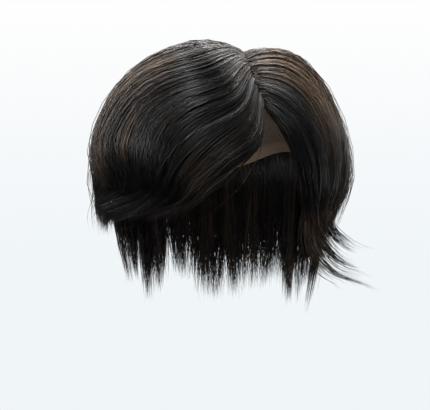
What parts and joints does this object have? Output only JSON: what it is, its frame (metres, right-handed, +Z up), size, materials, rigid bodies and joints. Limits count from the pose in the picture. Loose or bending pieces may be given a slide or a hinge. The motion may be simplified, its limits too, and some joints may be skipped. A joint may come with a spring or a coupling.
{
  "type": "toupee hairpiece",
  "caption": "Side-parted straight toupee: a thin domed base cap carrying hair locks over the crown, a swept fringe, side curtains, a flicked lock and a nape layer.",
  "frame": {"origin": "the crown of the wearer's head, where the inside of the base cap rests on it", "axes": "+Z up through the crown; the wearer faces -Y; the wearer's left side is at +X"},
  "size_m": [0.2256, 0.2307, 0.2108],
  "materials": {
    "base": "matt fine lace net",
    "hair": "straight near-black brown hair with a soft sheen"
  },
  "bodies": {
    "root": {"base_cap": "base", "fringe": "hair", "top_right": "hair", "crown_back": "hair", "top_left": "hair", "left_temple": "hair", "right_ear_lock": "hair", "left_flick": "hair", "nape_side_right": "hair", "nape_back": "hair", "nape_side_left": "hair"}
  },
  "joints": []
}
